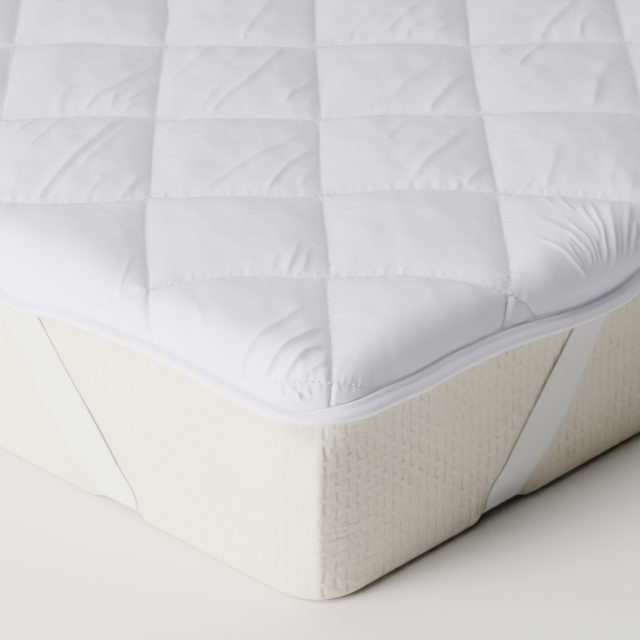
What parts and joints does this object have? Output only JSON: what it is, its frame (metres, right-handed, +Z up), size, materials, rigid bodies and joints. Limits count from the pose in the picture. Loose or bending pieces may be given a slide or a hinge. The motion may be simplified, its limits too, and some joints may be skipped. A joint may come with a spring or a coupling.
{
  "type": "mattress topper on a mattress",
  "caption": "Quilted white mattress topper with a bound rim, held on a plain single mattress by flat elastic straps that run slantwise under its corners.",
  "frame": {"origin": "middle of the mattress's underside", "axes": "+Z up, +Y along the mattress's length, +X across it"},
  "size_m": [0.9206, 1.9206, 0.1845],
  "materials": {
    "topper_cotton": "smooth close-woven white cotton, quilted, matt",
    "binding_tape": "soft folded white tape, matt",
    "strap_elastic": "flat woven white elastic, finely ribbed, matt",
    "mattress_knit": "cream knitted cover with a staggered embossed dash texture, matt"
  },
  "bodies": {
    "root": {"topper_pad": "topper_cotton", "edge_binding": "binding_tape", "strap_front_right": "strap_elastic", "strap_front_left": "strap_elastic", "strap_rear_right": "strap_elastic", "strap_rear_left": "strap_elastic", "mattress": "mattress_knit"}
  },
  "joints": []
}
